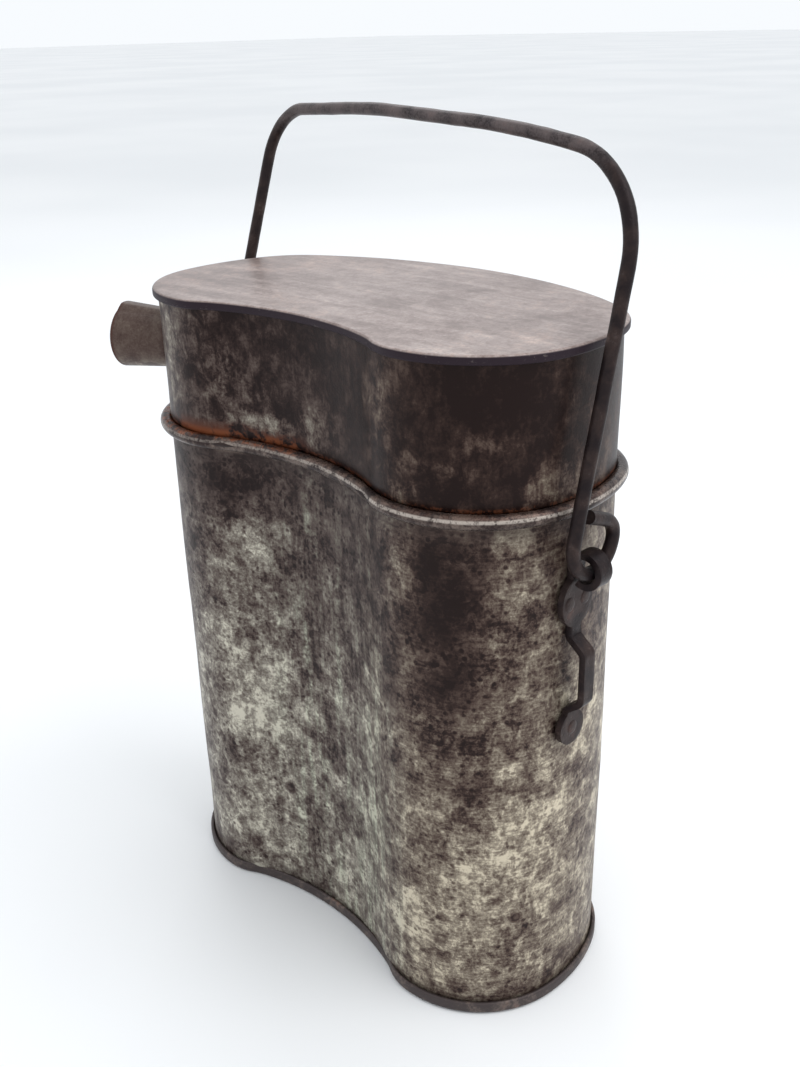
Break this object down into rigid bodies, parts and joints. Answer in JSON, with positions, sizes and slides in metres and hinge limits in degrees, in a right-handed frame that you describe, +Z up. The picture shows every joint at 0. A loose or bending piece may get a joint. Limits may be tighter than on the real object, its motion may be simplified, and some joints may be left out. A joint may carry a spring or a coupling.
{
  "type": "canteen",
  "caption": "Kidney-shaped sheet-metal field canteen with a deep plug-in lid, a stick socket on the lid, riveted strap-loop brackets and a loose swinging rod bail.",
  "frame": {"origin": "on the flat underside of the base plate, midway along the kettle, in line with the middle of its hollow front", "axes": "+Z up through the lid; X along the kettle's long side, with the stick socket at the -X end; the hollow front faces -Y and the convex back faces +Y"},
  "size_m": [0.2138, 0.1067, 0.2978],
  "materials": {
    "worn_tin": "worn tin plate, mottled with dark brown oxide",
    "blackened_tin": "blackened sheet with remains of tin",
    "top_sheet": "smooth grey-brown sheet with fine rolling streaks",
    "seam_iron": "dark brown satin seam",
    "rod_iron": "dark satin iron rod",
    "forged_iron": "dark forged iron",
    "rivet_iron": "dull iron rivet",
    "wire": "plain iron wire inside the rim"
  },
  "bodies": {
    "pot": {"pot_wall": "worn_tin", "rim_wire": "wire", "pot_base": "seam_iron", "right_bracket": "forged_iron", "left_bracket": "forged_iron", "right_plate_rivet_front": "rivet_iron", "right_plate_rivet_back": "rivet_iron", "right_foot_rivet": "rivet_iron", "left_plate_rivet_front": "rivet_iron", "left_plate_rivet_back": "rivet_iron", "left_foot_rivet": "rivet_iron"},
    "lid": {"lid_wall": "blackened_tin", "lid_top": "top_sheet", "lid_socket": "blackened_tin"},
    "bail": {"bail": "rod_iron"}
  },
  "joints": [
    {"name": "bail_swing", "type": "hinge", "parent": "pot", "child": "bail", "pos_m": [0, -0.0055, 0.1805], "axis": [1, 0, 0], "range_deg": [-75, 30]},
    {"name": "lid_lift", "type": "slide", "parent": "pot", "child": "lid", "axis": [0, 0, 1], "range_m": [0, 0.03]}
  ]
}
